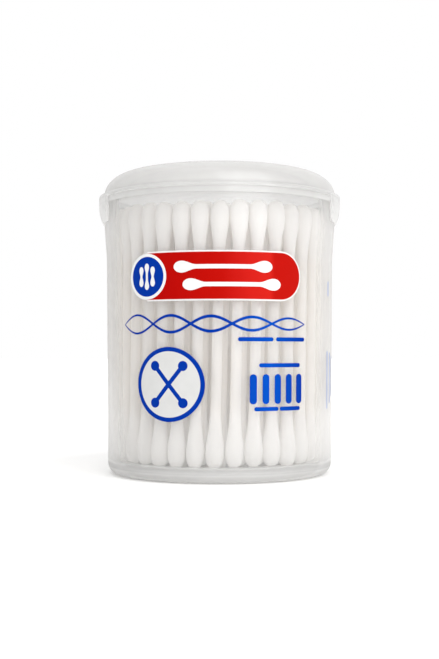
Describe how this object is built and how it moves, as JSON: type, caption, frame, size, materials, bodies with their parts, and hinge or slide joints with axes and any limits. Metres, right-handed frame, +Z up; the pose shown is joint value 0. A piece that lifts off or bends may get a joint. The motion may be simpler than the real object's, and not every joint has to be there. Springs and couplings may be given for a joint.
{
  "type": "cotton swab tub",
  "caption": "Round tub of frosted plastic, filled with upright cotton swabs, with a domed push-on lid, two thumb tabs and a red and blue printed front.",
  "frame": {"origin": "middle of the foot ring's standing plane", "axes": "+Z up along the tub's axis, -Y towards the side with the print, +X to its right"},
  "size_m": [0.0734, 0.0734, 0.0908],
  "materials": {
    "tub_plastic": "satin, frosted see-through polypropylene",
    "lid_plastic": "satin, frosted see-through polypropylene",
    "cotton_and_paper": "matt wound cotton on a smooth white paper stick",
    "red_ink": "glossy printing ink",
    "blue_ink": "glossy printing ink",
    "white_ink": "glossy printing ink"
  },
  "bodies": {
    "tub": {"tub": "tub_plastic", "print_red_banner": "red_ink", "print_white_ring": "white_ink", "print_blue_disc": "blue_ink", "print_blue_emblem": "blue_ink", "print_white_emblem": "white_ink", "print_blue_bars": "blue_ink", "swabs_01": "cotton_and_paper", "swabs_02": "cotton_and_paper", "swabs_03": "cotton_and_paper", "swabs_04": "cotton_and_paper", "swabs_05": "cotton_and_paper", "swabs_06": "cotton_and_paper", "swabs_07": "cotton_and_paper", "swabs_08": "cotton_and_paper", "swabs_09": "cotton_and_paper", "swabs_10": "cotton_and_paper", "swabs_11": "cotton_and_paper", "swabs_12": "cotton_and_paper", "swabs_13": "cotton_and_paper", "swabs_14": "cotton_and_paper", "swabs_15": "cotton_and_paper", "swabs_16": "cotton_and_paper", "swabs_17": "cotton_and_paper", "swabs_18": "cotton_and_paper", "swabs_19": "cotton_and_paper", "swabs_20": "cotton_and_paper"},
    "lid": {"lid": "lid_plastic"}
  },
  "joints": [
    {"name": "lid_lift", "type": "slide", "parent": "tub", "child": "lid", "axis": [0, 0, 1], "range_m": [0, 0.04]}
  ]
}
